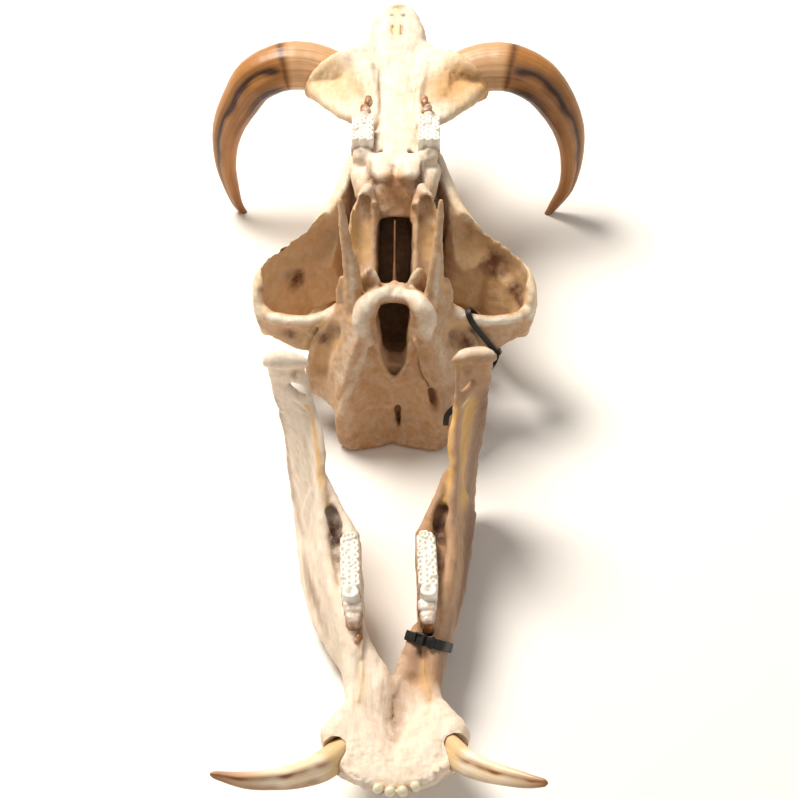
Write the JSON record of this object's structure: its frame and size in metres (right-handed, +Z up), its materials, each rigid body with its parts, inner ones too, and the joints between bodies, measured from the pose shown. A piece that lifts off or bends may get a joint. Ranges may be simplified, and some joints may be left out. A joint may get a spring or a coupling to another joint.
{
  "type": "warthog skull",
  "caption": "Dry warthog skull laid roof down with its tusks, and its lower jaw standing in front of it, with black ties.",
  "frame": {"origin": "on the floor, under the middle of the whole thing's box", "axes": "+Z up, +Y from the incisors of the lower jaw to the tip of the snout, +X to the right in the picture"},
  "size_m": [0.3198, 0.7502, 0.1979],
  "materials": {
    "cranium": "dry bone, matt",
    "mandible": "dry bone, matt",
    "upper_tusk_left": "stained ivory, satin",
    "upper_tusk_right": "stained ivory, satin",
    "lower_tusk_left": "ivory, satin",
    "lower_tusk_right": "ivory, satin",
    "tie_zygomatic": "matt",
    "tie_mandible": "matt"
  },
  "bodies": {
    "root": {"cranium": "cranium", "mandible": "mandible", "upper_tusk_left": "upper_tusk_left", "upper_tusk_right": "upper_tusk_right", "lower_tusk_left": "lower_tusk_left", "lower_tusk_right": "lower_tusk_right", "tie_zygomatic": "tie_zygomatic", "tie_mandible": "tie_mandible"}
  },
  "joints": []
}
